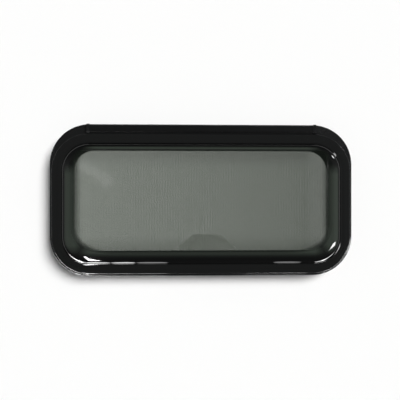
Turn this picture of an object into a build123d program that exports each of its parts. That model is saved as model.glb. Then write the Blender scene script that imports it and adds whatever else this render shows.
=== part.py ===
from build123d import *
import os
from math import cos, radians, sin, tan

# Top-hung caravan window, in millimetres. +X is to the right seen from outside, +Z is up and the
# outside is towards -Y. The origin is the middle of the frame, in the plane of the wall's outer skin.
# A level is a distance in front of that skin: positive outside, negative towards the room.
# A margin is a distance inwards from the frame's outline.

# Frame
frame_width = 900.0
frame_height = 450.0
frame_corner_radius = 118.0
wall_thickness = 30.0
flange_thickness = 3.0
flange_edge_radius = 2.0
flange_margin = 38.0
flange_inner_relief = 0.5
sleeve_margin = 22.0
sleeve_wall = 2.5
ledge_margin = 42.0
ledge_thickness = 3.0

# Weather seal
seal_rib_width = 2.5
seal_rib_height = 3.5
seal_wall = 2.0
seal_fit = 0.15
seal_crown_radius = 2.5
seat_gap = 0.3

# Sash
sash_reveal = 8.0
sash_drop = 29.0
sash_level = 17.0
rim_width = 28.0
rim_edge_radius = 1.2
outer_pane_thickness = 3.5
inner_pane_thickness = 2.5
bond_thickness = 1.0
bond_margin = 6.0
bond_width = 13.0
dome_height = 16.0
dome_slope = 40.0
dome_foot_radius = 6.0
inner_pane_margin = 3.0
tray_margin = 37.0
tray_depth = 6.5
tray_slope = 20.0
tray_foot_radius = 2.5
blend_share = 0.9
plane_band = 0.01

# Hinge
hinge_axis_level = 13.0
bead_radius = 2.4
hinge_clearance = 0.3
knuckle_wall = 1.8
rail_wall = 1.8
rail_foot_gap = 8.0
rail_top_gap = 2.5
rail_front_radius = 6.0
leaf_web = 1.8
leaf_neck = 1.8
leaf_tongue = 18.0
leaf_end_gap = 2.0
mouth_back_angle = 30.0
mouth_front_angle = 85.0
cap_length = 8.0
cap_proud = 0.5
cap_front_radius = 5.0

# Inner trim and fly screen
trim_depth = 26.0
trim_wall = 3.0
trim_edge_radius = 5.0
opening_side = 62.0
opening_top = 74.0
opening_bottom = 58.0
opening_corner_radius = 60.0
opening_edge_radius = 1.5
screen_unit_side = 55.0
screen_unit_end = 37.0
unit_wall = 1.8
unit_edge_radius = 2.0
guide_width = 22.0
slot_width = 4.0
slot_depth = 8.0
screen_thickness = 0.4
screen_inset = 2.0
screen_rise = 6.0
rail_height = 16.0
rail_depth = 8.0
rail_seat = 3.0
rail_side_gap = 1.0
shoe_thickness = 3.0
shoe_height = 10.0
grip_offset = 15.0
grip_base = 230.0
grip_top = 84.0
grip_height = 62.0
grip_thickness = 4.0
grip_corner_radius = 6.0
grip_lip_depth = 8.0
grip_lip_height = 5.0
grip_lip_radius = 1.6
catch_width = 28.0
catch_height = 32.0
catch_depth = 6.0
catch_radius = 3.0
catch_edge_radius = 1.5

# Latches
latch_offset = 205.0
latch_base_width = 56.0
latch_base_height = 16.0
latch_base_depth = 5.5
latch_corner_radius = 4.0
latch_base_edge_radius = 1.0
latch_edge_gap = 6.0
latch_hub_radius = 8.0
latch_tongue_width = 12.0
latch_tongue_thickness = 4.0
latch_tongue_reach = 12.0
latch_lever_length = 44.0
latch_lever_width = 11.0
latch_lever_depth = 9.0
latch_lever_radius = 2.0
keeper_width = 34.0
keeper_height = 12.0
keeper_thickness = 2.5
keeper_fold = 4.0

# Stays
stay_margin = 60.0
stay_level = -7.0
stay_end_gap = 2.0
stay_length = 180.0
stay_tube_radius = 4.5
stay_rod_radius = 2.8
stay_tube_length = 100.0
stay_collar_radius = 6.2
stay_collar_length = 18.0
stay_collar_chamfer = 1.0
stay_rod_stop = 18.0
stay_pin_radius = 2.5
stay_eye_width = 6.0
stay_fit = 0.2
bracket_plate = 2.0
bracket_height = 30.0
bracket_depth = 12.0
lug_width = 12.0
lug_height = 30.0

# Derived places
half_width = frame_width / 2
half_height = frame_height / 2
sash_width = frame_width - 2 * sash_reveal
sash_height = frame_height - sash_reveal - sash_drop
sash_middle = (sash_reveal - sash_drop) / 2
sash_top = half_height - sash_drop
sash_corner_radius = frame_corner_radius - sash_reveal
rim_back_level = sash_level - outer_pane_thickness
flange_level = rim_back_level - bond_thickness
seat_level = flange_level - inner_pane_thickness
tray_back_level = seat_level - tray_depth
straight_top = frame_width - 2 * frame_corner_radius
socket_radius = bead_radius + hinge_clearance
knuckle_radius = socket_radius + knuckle_wall
axis_height = sash_top + leaf_web + hinge_clearance + knuckle_radius
unit_front_level = -wall_thickness
unit_back_level = -(wall_thickness + trim_depth - trim_wall)
unit_depth = unit_front_level - unit_back_level
screen_level = (unit_front_level + unit_back_level) / 2
opening_width = frame_width - 2 * opening_side
opening_low = opening_bottom - half_height
opening_high = half_height - opening_top
opening_middle = (opening_low + opening_high) / 2
opening_height = opening_high - opening_low
unit_width = frame_width - 2 * screen_unit_side
stay_offset = half_width - stay_margin

os.makedirs("parts", exist_ok=True)


def frame_outline(margin, mode=Mode.ADD):
    """Add the frame's outline, brought in by a margin, to the sketch in hand."""
    RectangleRounded(
        frame_width - 2 * margin,
        frame_height - 2 * margin,
        frame_corner_radius - margin,
        mode=mode,
    )


def frame_ring(outer_margin, inner_margin):
    """Add a ring that follows the frame's outline between two margins."""
    frame_outline(outer_margin)
    frame_outline(inner_margin, mode=Mode.SUBTRACT)


def sash_outline(margin, mode=Mode.ADD, flip=1):
    """Add the sash's outline, brought in by a margin, to the sketch in hand."""
    with Locations((0, flip * sash_middle)):
        RectangleRounded(
            sash_width - 2 * margin,
            sash_height - 2 * margin,
            sash_corner_radius - margin,
            mode=mode,
        )


def formed_sheet(plane, flip, sheet_margin, form_margin, sheet, height, slope, foot_radius, skin):
    """A plate with a raised plateau: skin 0 gives its outer form, the sheet's thickness its inner form."""
    half_turn = (90 - slope) / 2
    inset = skin * (1 / cos(radians(slope)) - tan(radians(slope)))
    foot = foot_radius * tan(radians(half_turn))
    crown = blend_share * (height / cos(radians(slope)) - foot) / tan(radians(half_turn))
    lift = Axis(plane.origin, plane.z_dir)
    with BuildPart() as form:
        with BuildSketch(plane):
            sash_outline(form_margin + inset, flip=flip)
        extrude(amount=height, taper=slope)
        fillet(form.edges().group_by(lift)[-1], radius=crown - skin)
        with BuildSketch(plane):
            sash_outline(sheet_margin, flip=flip)
        extrude(amount=-sheet)
        flat_faces = form.faces().filter_by(GeomType.PLANE)
        rim_face = flat_faces.filter_by_position(lift, -plane_band, plane_band)[0]
        fillet(rim_face.inner_wires()[0].edges(), radius=foot_radius + skin)
    return form.part


# Fixed frame: wall flange, sleeve through the wall, rib for the seal and ledge for the screen unit
with BuildPart() as outer_frame:
    with BuildSketch(Plane.XZ):
        frame_ring(0, sleeve_margin + sleeve_wall)
    extrude(amount=flange_thickness)
    with BuildSketch(Plane.XZ.offset(flange_inner_relief)):
        frame_ring(sleeve_margin, flange_margin)
    extrude(amount=flange_thickness - flange_inner_relief)
    flange_front = outer_frame.faces().sort_by(Axis.Y)[0]
    fillet(flange_front.outer_wire().edges(), radius=flange_edge_radius)
    with BuildSketch(Plane.XZ.offset(flange_thickness)):
        frame_ring(flange_margin - seal_rib_width, flange_margin)
    extrude(amount=seal_rib_height)
    with BuildSketch(Plane.XZ):
        frame_ring(sleeve_margin, sleeve_margin + sleeve_wall)
    extrude(amount=-wall_thickness)
    with BuildSketch(Plane.XZ.offset(-wall_thickness)):
        frame_ring(sleeve_margin, ledge_margin)
    extrude(amount=ledge_thickness)
outer_frame.part.label = "outer_frame"
export_step(outer_frame.part, "parts/outer_frame.step")

# Seal that clips over the rib and carries the sash
seal_outer_margin = flange_margin - seal_rib_width - seal_fit - seal_wall
seal_inner_margin = flange_margin + seal_fit + seal_wall
with BuildPart() as weather_seal:
    with BuildSketch(Plane.XZ.offset(flange_thickness)):
        frame_ring(seal_outer_margin, seal_inner_margin)
    extrude(amount=seat_level - flange_thickness - seat_gap)
    fillet(weather_seal.edges().group_by(Axis.Y)[0], radius=seal_crown_radius)
    with BuildSketch(Plane.XZ.offset(flange_thickness)):
        frame_ring(flange_margin - seal_rib_width - seal_fit, flange_margin + seal_fit)
    extrude(amount=seal_rib_height + seal_fit, mode=Mode.SUBTRACT)
weather_seal.part.label = "weather_seal"
export_step(weather_seal.part, "parts/weather_seal.step")

# Outer pane: flat rim, concave foot and a rounded dome, formed from one sheet
dome_shape = (dome_height, dome_slope, dome_foot_radius)
dome_void = formed_sheet(
    Plane.XZ.offset(rim_back_level),
    1,
    0,
    rim_width,
    outer_pane_thickness,
    *dome_shape,
    outer_pane_thickness,
)
with BuildPart() as outer_pane:
    add(
        formed_sheet(
            Plane.XZ.offset(sash_level),
            1,
            0,
            rim_width,
            outer_pane_thickness,
            *dome_shape,
            0,
        )
    )
    rim_front = outer_pane.faces().filter_by(GeomType.PLANE).filter_by_position(
        Axis.Y, -sash_level - plane_band, -sash_level + plane_band
    )[0]
    fillet(rim_front.outer_wire().edges(), radius=rim_edge_radius)
    add(dome_void, mode=Mode.SUBTRACT)
outer_pane.part.label = "outer_pane"
export_step(outer_pane.part, "parts/outer_pane.step")

# Inner pane: a shallow tray towards the room, open to the air gap between the panes
tray_shape = (tray_depth, tray_slope, tray_foot_radius)
tray_void = formed_sheet(
    -Plane.XZ.offset(flange_level),
    -1,
    0,
    tray_margin,
    inner_pane_thickness,
    *tray_shape,
    inner_pane_thickness,
)
with BuildPart() as inner_pane:
    add(
        formed_sheet(
            -Plane.XZ.offset(seat_level),
            -1,
            inner_pane_margin,
            tray_margin,
            inner_pane_thickness,
            *tray_shape,
            0,
        )
    )
    add(tray_void, mode=Mode.SUBTRACT)
inner_pane.part.label = "inner_pane"
export_step(inner_pane.part, "parts/inner_pane.step")

# Bond between the two rims, cut back for the hinge leaf's tongue
leaf_length = straight_top - 2 * leaf_end_gap
with BuildPart() as edge_bond:
    with BuildSketch(Plane.XZ.offset(flange_level)):
        sash_outline(bond_margin)
        sash_outline(bond_margin + bond_width, mode=Mode.SUBTRACT)
        with Locations((0, sash_top)):
            Rectangle(
                leaf_length + 2 * hinge_clearance,
                2 * (leaf_tongue + hinge_clearance),
                mode=Mode.SUBTRACT,
            )
    extrude(amount=bond_thickness)
edge_bond.part.label = "edge_bond"
export_step(edge_bond.part, "parts/edge_bond.step")

# Hinge rail: a hollow profile on the flange, with a socket along its lower front edge
rail_low = sash_top + rail_foot_gap
rail_high = half_height - rail_top_gap
rail_size = (sash_level - flange_thickness, rail_high - rail_low)
rail_middle = (-(sash_level + flange_thickness) / 2, (rail_high + rail_low) / 2)
mouth_reach = 2 * knuckle_radius
mouth_back = (
    mouth_reach * sin(radians(mouth_back_angle)),
    -mouth_reach * cos(radians(mouth_back_angle)),
)
mouth_front = (
    -mouth_reach * sin(radians(mouth_front_angle)),
    -mouth_reach * cos(radians(mouth_front_angle)),
)
with BuildPart() as hinge_rail:
    with BuildSketch(Plane.YZ.offset(-straight_top / 2)) as rail_section:
        with Locations(rail_middle):
            Rectangle(*rail_size)
        front_top = rail_section.vertices().group_by(Axis.Y)[-1].sort_by(Axis.X)[0]
        fillet(front_top, radius=rail_front_radius)
        with Locations(rail_middle):
            RectangleRounded(
                rail_size[0] - 2 * rail_wall,
                rail_size[1] - 2 * rail_wall,
                rail_front_radius - rail_wall,
                mode=Mode.SUBTRACT,
            )
        with Locations((-hinge_axis_level, axis_height)):
            Circle(knuckle_radius)
            Circle(socket_radius, mode=Mode.SUBTRACT)
            Polygon((0, 0), mouth_back, (-mouth_reach, -mouth_reach), mouth_front, mode=Mode.SUBTRACT)
    extrude(amount=straight_top)
hinge_rail.part.label = "hinge_rail"
export_step(hinge_rail.part, "parts/hinge_rail.step")

# Hinge leaf: bead in the socket, web over the sash's top edge and tongue between the panes
with BuildPart() as hinge_leaf:
    with BuildSketch(Plane.YZ.offset(-leaf_length / 2)):
        with Locations((-hinge_axis_level, axis_height)):
            Circle(bead_radius)
        with Locations((-hinge_axis_level, sash_top)):
            Rectangle(leaf_neck, axis_height - sash_top, align=(Align.CENTER, Align.MIN))
        with Locations((-sash_level, sash_top)):
            Rectangle(sash_level - seat_level, leaf_web, align=(Align.MIN, Align.MIN))
        with Locations((-rim_back_level, sash_top)):
            Rectangle(bond_thickness, leaf_tongue, align=(Align.MIN, Align.MAX))
    extrude(amount=leaf_length)
hinge_leaf.part.label = "hinge_leaf"
export_step(hinge_leaf.part, "parts/hinge_leaf.step")

# End caps that close the hinge rail
cap_level = sash_level + cap_proud
for side, hand in ((-1, "left"), (1, "right")):
    with BuildPart() as hinge_cap:
        with BuildSketch(Plane.YZ.offset(side * straight_top / 2)) as cap_section:
            with Locations((-cap_level, half_height)):
                Rectangle(
                    cap_level - flange_thickness,
                    half_height - sash_top - leaf_web - hinge_clearance,
                    align=(Align.MIN, Align.MAX),
                )
            fillet(cap_section.vertices().group_by(Axis.X)[0], radius=cap_front_radius)
        extrude(amount=side * cap_length)
    hinge_cap.part.label = f"hinge_cap_{hand}"
    export_step(hinge_cap.part, f"parts/hinge_cap_{hand}.step")

# Inner trim: face plate with a rounded opening and a wall that stands on the room side of the wall
with BuildPart() as inner_trim:
    with BuildSketch(Plane.XZ.offset(unit_back_level - trim_wall)):
        frame_outline(0)
        with Locations((0, opening_middle)):
            RectangleRounded(opening_width, opening_height, opening_corner_radius, mode=Mode.SUBTRACT)
    extrude(amount=trim_wall)
    with BuildSketch(Plane.XZ.offset(unit_back_level)):
        frame_ring(0, trim_wall)
    extrude(amount=unit_depth)
    face_plate = inner_trim.faces().sort_by(Axis.Y)[-1]
    fillet(face_plate.outer_wire().edges(), radius=trim_edge_radius)
    face_plate = inner_trim.faces().sort_by(Axis.Y)[-1]
    fillet(face_plate.inner_wires()[0].edges(), radius=opening_edge_radius)
inner_trim.part.label = "inner_trim"
export_step(inner_trim.part, "parts/inner_trim.step")

# Cassette over the opening that holds the rolled screen, with a slot for it underneath
cassette_high = half_height - screen_unit_end
with BuildPart() as screen_cassette:
    with BuildSketch(Plane.YZ.offset(-unit_width / 2)):
        with Locations((-screen_level, (cassette_high + opening_high) / 2)):
            RectangleRounded(unit_depth, cassette_high - opening_high, unit_edge_radius)
            Rectangle(
                unit_depth - 2 * unit_wall,
                cassette_high - opening_high - 2 * unit_wall,
                mode=Mode.SUBTRACT,
            )
        with Locations((-screen_level, opening_high)):
            Rectangle(slot_width, 2 * slot_depth, mode=Mode.SUBTRACT)
    extrude(amount=unit_width)
screen_cassette.part.label = "screen_cassette"
export_step(screen_cassette.part, "parts/screen_cassette.step")

# Sill under the opening, with a groove where the pull rail parks
sill_low = screen_unit_end - half_height
groove_width = rail_depth + 2 * rail_side_gap
with BuildPart() as screen_sill:
    with BuildSketch(Plane.YZ.offset(-unit_width / 2)):
        with Locations((-screen_level, (sill_low + opening_low) / 2)):
            RectangleRounded(unit_depth, opening_low - sill_low, unit_edge_radius)
            Rectangle(
                unit_depth - 2 * unit_wall,
                opening_low - sill_low - 2 * (rail_seat + unit_wall),
                mode=Mode.SUBTRACT,
            )
        with Locations((-screen_level, opening_low)):
            Rectangle(groove_width, 2 * rail_seat, mode=Mode.SUBTRACT)
    extrude(amount=unit_width)
screen_sill.part.label = "screen_sill"
export_step(screen_sill.part, "parts/screen_sill.step")

# Guides beside the opening: hollow profiles with a slot for the screen's edge and the rail's shoe
guide_edge = opening_width / 2
for side, hand in ((-1, "left"), (1, "right")):
    with BuildPart() as screen_guide:
        with BuildSketch(Plane.XY.offset(opening_low)):
            with Locations((side * (guide_edge + guide_width / 2), -screen_level)):
                RectangleRounded(guide_width, unit_depth, unit_edge_radius)
            with Locations((side * (guide_edge + slot_depth + unit_wall), -screen_level)):
                Rectangle(
                    guide_width - slot_depth - 2 * unit_wall,
                    unit_depth - 2 * unit_wall,
                    align=(Align.MIN if side > 0 else Align.MAX, Align.CENTER),
                    mode=Mode.SUBTRACT,
                )
            with Locations((side * guide_edge, -screen_level)):
                Rectangle(2 * slot_depth, slot_width, mode=Mode.SUBTRACT)
        extrude(amount=opening_height)
    screen_guide.part.label = f"screen_guide_{hand}"
    export_step(screen_guide.part, f"parts/screen_guide_{hand}.step")

# Pull rail along the screen's lower edge, with a shoe in each guide's slot
rail_bottom = opening_low - rail_seat + seat_gap
pull_rail_top = rail_bottom + rail_height
screen_half_width = guide_edge + slot_depth - screen_inset
with BuildPart() as screen_pull_rail:
    with BuildSketch(Plane.YZ.offset(rail_side_gap - guide_edge)):
        with Locations((-screen_level, rail_bottom + rail_height / 2)):
            RectangleRounded(rail_depth, rail_height, unit_edge_radius)
    extrude(amount=2 * (guide_edge - rail_side_gap))
    with BuildSketch(Plane.YZ.offset(-screen_half_width)):
        with Locations((-screen_level, opening_low + seat_gap)):
            Rectangle(shoe_thickness, shoe_height, align=(Align.CENTER, Align.MIN))
    extrude(amount=2 * screen_half_width)
screen_pull_rail.part.label = "screen_pull_rail"
export_step(screen_pull_rail.part, "parts/screen_pull_rail.step")

# Fly screen from the pull rail up into the cassette's slot
with BuildPart() as fly_screen:
    with BuildSketch(Plane.XZ.offset(screen_level - screen_thickness / 2)):
        with Locations((0, pull_rail_top)):
            Rectangle(
                2 * screen_half_width,
                opening_high + screen_rise - pull_rail_top,
                align=(Align.CENTER, Align.MIN),
            )
    extrude(amount=screen_thickness)
fly_screen.part.label = "fly_screen"
export_step(fly_screen.part, "parts/fly_screen.step")

# Grip plate on the room side of the pull rail, with a finger lip along its top
grip_front_level = screen_level - rail_depth / 2
grip_low = opening_low + seat_gap
grip_high = grip_low + grip_height
with BuildPart() as screen_grip:
    with BuildSketch(Plane.XZ.offset(grip_front_level - grip_thickness)) as grip_outline:
        with Locations((grip_offset, grip_low)):
            Polygon(
                (-grip_base / 2, 0),
                (grip_base / 2, 0),
                (grip_top / 2, grip_height),
                (-grip_top / 2, grip_height),
            )
        fillet(grip_outline.vertices(), radius=grip_corner_radius)
    extrude(amount=grip_thickness)
    with BuildSketch(Plane.XZ.offset(grip_front_level - grip_thickness)):
        with Locations((grip_offset, grip_high)):
            Rectangle(
                grip_top - 2 * grip_corner_radius,
                grip_lip_height,
                align=(Align.CENTER, Align.MAX),
            )
    extrude(amount=-grip_lip_depth)
    fillet(screen_grip.edges().group_by(Axis.Y)[-1], radius=grip_lip_radius)
screen_grip.part.label = "screen_grip"
export_step(screen_grip.part, "parts/screen_grip.step")

# Catch block at the right end of the grip, under its lip
catch_high = grip_high - grip_lip_height - seat_gap
with BuildPart() as screen_catch:
    with BuildSketch(Plane.XZ.offset(grip_front_level - grip_thickness - catch_depth)):
        with Locations((grip_offset + grip_top / 2, catch_high)):
            RectangleRounded(catch_width, catch_height, catch_radius, align=(Align.CENTER, Align.MAX))
    extrude(amount=catch_depth)
    fillet(screen_catch.edges().group_by(Axis.Y)[-1], radius=catch_edge_radius)
screen_catch.part.label = "screen_catch"
export_step(screen_catch.part, "parts/screen_catch.step")

# Latches along the sash's lower edge: base on the inner pane, turning lever, keeper on the frame
tray_low = sash_middle - sash_height / 2 + tray_margin
latch_low = tray_low + latch_edge_gap
latch_middle = latch_low + latch_base_height / 2
latch_base_level = tray_back_level - latch_base_depth
keeper_level = flange_inner_relief - keeper_thickness
lever_level = min(latch_base_level, keeper_level - seat_gap)
keeper_high = flange_margin - half_height
tongue_low = keeper_high - latch_tongue_reach
for side, hand in ((-1, "left"), (1, "right")):
    with BuildPart() as latch_base:
        with BuildSketch(Plane.XZ.offset(latch_base_level)):
            with Locations((side * latch_offset, latch_middle)):
                RectangleRounded(latch_base_width, latch_base_height, latch_corner_radius)
        extrude(amount=latch_base_depth)
        fillet(latch_base.edges().group_by(Axis.Y)[-1], radius=latch_base_edge_radius)
    latch_base.part.label = f"latch_base_{hand}"
    export_step(latch_base.part, f"parts/latch_base_{hand}.step")

    with BuildPart() as latch_handle:
        with BuildSketch(Plane.XZ.offset(lever_level - latch_tongue_thickness)):
            with Locations((side * latch_offset, latch_middle)):
                Circle(latch_hub_radius)
            with Locations((side * latch_offset, tongue_low)):
                Rectangle(
                    latch_tongue_width,
                    latch_middle - tongue_low,
                    align=(Align.CENTER, Align.MIN),
                )
        extrude(amount=latch_tongue_thickness)
        with BuildSketch(Plane.XZ.offset(lever_level - latch_tongue_thickness)):
            with Locations((side * (latch_offset - latch_lever_length / 2), latch_middle)):
                SlotOverall(latch_lever_length + latch_lever_width, latch_lever_width)
        extrude(amount=-latch_lever_depth)
        fillet(latch_handle.edges().group_by(Axis.Y)[-1], radius=latch_lever_radius)
    latch_handle.part.label = f"latch_handle_{hand}"
    export_step(latch_handle.part, f"parts/latch_handle_{hand}.step")

    with BuildPart() as latch_keeper:
        with BuildSketch(Plane.XZ.offset(keeper_level)):
            with Locations((side * latch_offset, keeper_high)):
                Rectangle(keeper_width, keeper_height, align=(Align.CENTER, Align.MAX))
        extrude(amount=keeper_thickness)
        with BuildSketch(Plane.XZ.offset(keeper_level)):
            for end in (-1, 1):
                fold_offset = end * (keeper_width - keeper_thickness) / 2
                with Locations((side * latch_offset + fold_offset, keeper_high)):
                    Rectangle(keeper_thickness, keeper_height, align=(Align.CENTER, Align.MAX))
        extrude(amount=-keeper_fold)
    latch_keeper.part.label = f"latch_keeper_{hand}"
    export_step(latch_keeper.part, f"parts/latch_keeper_{hand}.step")

# Telescopic stays at both sides: tube hung from the frame, rod to the sash and a clamp collar
stay_top = half_height - frame_corner_radius - bracket_height / 2 - stay_end_gap
stay_low = stay_top - stay_length
tube_low = stay_top - stay_tube_length
eye_radius = stay_tube_radius
sleeve_face = half_width - sleeve_margin - sleeve_wall
for side, hand in ((-1, "left"), (1, "right")):
    stay_x = side * stay_offset
    with BuildPart() as stay_tube:
        with BuildSketch(Plane.XY.offset(tube_low)):
            with Locations((stay_x, -stay_level)):
                Circle(stay_tube_radius)
                Circle(stay_rod_radius + stay_fit, mode=Mode.SUBTRACT)
        extrude(amount=stay_tube_length - eye_radius)
        with BuildSketch(Plane.YZ.offset(stay_x - stay_eye_width / 2)):
            with Locations((-stay_level, stay_top)):
                Circle(eye_radius)
                Rectangle(2 * eye_radius, 2 * eye_radius, align=(Align.CENTER, Align.MAX))
        extrude(amount=stay_eye_width)
        with BuildSketch(Plane.YZ.offset(stay_x - stay_eye_width)):
            with Locations((-stay_level, stay_top)):
                Circle(stay_pin_radius + stay_fit)
        extrude(amount=2 * stay_eye_width, mode=Mode.SUBTRACT)
    stay_tube.part.label = f"stay_tube_{hand}"
    export_step(stay_tube.part, f"parts/stay_tube_{hand}.step")

    with BuildPart() as stay_rod:
        with BuildSketch(Plane.XY.offset(stay_low)):
            with Locations((stay_x, -stay_level)):
                Circle(stay_rod_radius)
        extrude(amount=stay_length - stay_rod_stop)
        with BuildSketch(Plane.YZ.offset(stay_x - stay_eye_width / 2)):
            with Locations((-stay_level, stay_low)):
                Circle(eye_radius)
        extrude(amount=stay_eye_width)
        with BuildSketch(Plane.YZ.offset(stay_x - stay_eye_width)):
            with Locations((-stay_level, stay_low)):
                Circle(stay_pin_radius + stay_fit)
        extrude(amount=2 * stay_eye_width, mode=Mode.SUBTRACT)
    stay_rod.part.label = f"stay_rod_{hand}"
    export_step(stay_rod.part, f"parts/stay_rod_{hand}.step")

    with BuildPart() as stay_collar:
        with BuildSketch(Plane.XY.offset(tube_low - stay_collar_length)):
            with Locations((stay_x, -stay_level)):
                Circle(stay_collar_radius)
                Circle(stay_rod_radius + stay_fit, mode=Mode.SUBTRACT)
        extrude(amount=stay_collar_length)
        lower_rim = stay_collar.edges().group_by(Axis.Z)[0].sort_by(SortBy.RADIUS)[-1]
        chamfer(lower_rim, length=stay_collar_chamfer)
    stay_collar.part.label = f"stay_collar_{hand}"
    export_step(stay_collar.part, f"parts/stay_collar_{hand}.step")

    with BuildPart() as stay_frame_bracket:
        with BuildSketch(Plane.YZ.offset(side * (sleeve_face - bracket_plate))):
            with Locations((-stay_level, stay_top)):
                RectangleRounded(bracket_depth, bracket_height, stay_pin_radius)
        extrude(amount=side * bracket_plate)
        with BuildSketch(Plane.YZ.offset(side * (sleeve_face - bracket_plate))):
            with Locations((-stay_level, stay_top)):
                Circle(stay_pin_radius)
        extrude(amount=-side * (sleeve_face - bracket_plate - stay_offset + stay_eye_width / 2))
        with BuildSketch(Plane.YZ.offset(side * (stay_offset + stay_eye_width / 2 + stay_fit))):
            with Locations((-stay_level, stay_top)):
                Circle(eye_radius)
        extrude(amount=side * (sleeve_face - bracket_plate - stay_offset - stay_eye_width / 2 - stay_fit))
    stay_frame_bracket.part.label = f"stay_frame_bracket_{hand}"
    export_step(stay_frame_bracket.part, f"parts/stay_frame_bracket_{hand}.step")

    with BuildPart() as stay_sash_bracket:
        with BuildSketch(Plane.XZ.offset(tray_back_level - bracket_plate)):
            with Locations((stay_x, stay_low)):
                RectangleRounded(lug_width, lug_height, stay_pin_radius)
        extrude(amount=bracket_plate)
        with BuildSketch(Plane.YZ.offset(stay_x - side * (stay_eye_width / 2 + stay_fit))):
            with Locations((-stay_level, stay_low)):
                Circle(eye_radius)
                Rectangle(
                    -stay_level + tray_back_level - bracket_plate,
                    2 * eye_radius,
                    align=(Align.MAX, Align.CENTER),
                )
        extrude(amount=-side * bracket_plate)
        with BuildSketch(Plane.YZ.offset(stay_x - side * (stay_eye_width / 2 + stay_fit))):
            with Locations((-stay_level, stay_low)):
                Circle(stay_pin_radius)
        extrude(amount=side * (stay_eye_width + stay_fit))
    stay_sash_bracket.part.label = f"stay_sash_bracket_{hand}"
    export_step(stay_sash_bracket.part, f"parts/stay_sash_bracket_{hand}.step")
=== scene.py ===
"""Top-hung caravan window: finishes, small fasteners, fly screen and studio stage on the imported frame."""

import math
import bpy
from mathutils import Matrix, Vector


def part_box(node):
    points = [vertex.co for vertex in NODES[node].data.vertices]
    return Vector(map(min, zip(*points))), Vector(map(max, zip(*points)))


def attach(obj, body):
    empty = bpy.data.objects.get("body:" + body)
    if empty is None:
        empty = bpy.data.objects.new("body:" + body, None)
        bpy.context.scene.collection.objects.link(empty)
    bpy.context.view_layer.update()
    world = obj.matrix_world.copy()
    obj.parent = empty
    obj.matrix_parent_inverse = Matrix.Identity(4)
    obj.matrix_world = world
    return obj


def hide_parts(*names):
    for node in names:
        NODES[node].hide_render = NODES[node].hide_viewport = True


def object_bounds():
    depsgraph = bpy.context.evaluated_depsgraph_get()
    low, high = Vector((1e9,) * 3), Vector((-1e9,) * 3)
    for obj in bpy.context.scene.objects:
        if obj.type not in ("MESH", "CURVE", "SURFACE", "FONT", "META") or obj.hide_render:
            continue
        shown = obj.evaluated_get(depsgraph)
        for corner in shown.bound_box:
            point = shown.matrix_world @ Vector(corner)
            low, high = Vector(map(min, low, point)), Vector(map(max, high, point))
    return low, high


bl_info = {
    "name": "Caravan window",
    "version": (1, 0, 0),
    "blender": (4, 5, 0),
    "location": "View3D > Sidebar > Window",
    "description": "Dresses a top-hung caravan window with its panes, screen, screws and finishes",
    "category": "Object",
}

import bmesh
import bpy
from bpy.props import FloatProperty, FloatVectorProperty, PointerProperty
from mathutils import Matrix, Vector

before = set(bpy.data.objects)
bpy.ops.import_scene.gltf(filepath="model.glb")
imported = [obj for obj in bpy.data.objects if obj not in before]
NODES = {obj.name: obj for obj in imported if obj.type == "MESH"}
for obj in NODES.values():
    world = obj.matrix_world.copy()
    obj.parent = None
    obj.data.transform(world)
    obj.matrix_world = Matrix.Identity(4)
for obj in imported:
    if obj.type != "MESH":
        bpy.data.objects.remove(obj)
CAD_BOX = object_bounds()
PANE_LOW, PANE_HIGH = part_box("outer_pane")
SCREEN_LOW, SCREEN_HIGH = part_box("fly_screen")
TRIM_LOW, TRIM_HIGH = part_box("inner_trim")
HANDS = ("left", "right")


def length(name, description, default):
    """A size in metres that a user may change."""
    limits = {"min": 0.0, "unit": "LENGTH", "precision": 5}
    return FloatProperty(name=name, description=description, default=default, **limits)


def share(name, description, default):
    """A part of a whole, from 0 to 1."""
    limits = {"min": 0.0, "max": 1.0, "subtype": "FACTOR"}
    return FloatProperty(name=name, description=description, default=default, **limits)


def tilt(name, description, degrees):
    """An angle, given in degrees."""
    return FloatProperty(name=name, description=description, default=math.radians(degrees), subtype="ANGLE")


def amount(name, description, default, unit="NONE"):
    """A strength or another number that isn't below 0."""
    return FloatProperty(name=name, description=description, default=default, min=0.0, unit=unit)


def colour(name, description, default):
    """A colour of a finish, in linear light."""
    return FloatVectorProperty(
        name=name, description=description, default=default, size=3, min=0.0, max=1.0, subtype="COLOR"
    )


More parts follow.
